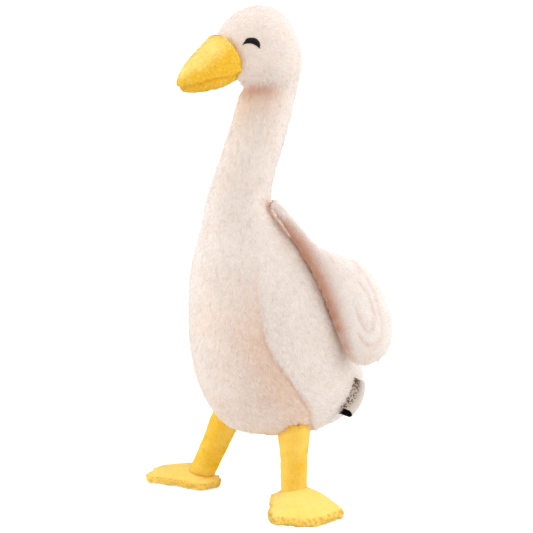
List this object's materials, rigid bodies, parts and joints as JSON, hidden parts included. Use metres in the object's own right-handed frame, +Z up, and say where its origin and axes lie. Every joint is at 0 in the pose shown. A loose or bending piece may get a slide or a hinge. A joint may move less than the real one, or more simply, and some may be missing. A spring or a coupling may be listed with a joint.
{
  "type": "plush goose",
  "caption": "Stuffed plush goose standing on webbed feet, with a long neck, closed smiling eyes, a soft beak and padded wings.",
  "frame": {"origin": "on the floor, under the middle of the goose's bounding box", "axes": "+Z up; the goose faces -Y and its left side is +X"},
  "size_m": [0.187, 0.1674, 0.3843],
  "materials": {
    "fur": "soft short-pile plush, cream with a pink cast",
    "yellow_plush": "close-cropped yellow plush",
    "black_thread": "satin-stitched embroidery thread",
    "woven_tape": "plain woven cotton tape"
  },
  "bodies": {
    "root": {"body": "fur", "wing_left": "fur", "wing_right": "fur", "beak": "yellow_plush", "leg_left": "yellow_plush", "leg_right": "yellow_plush", "foot_left": "yellow_plush", "foot_right": "yellow_plush", "eye_left": "black_thread", "eye_right": "black_thread", "label_tape": "woven_tape"}
  },
  "joints": []
}
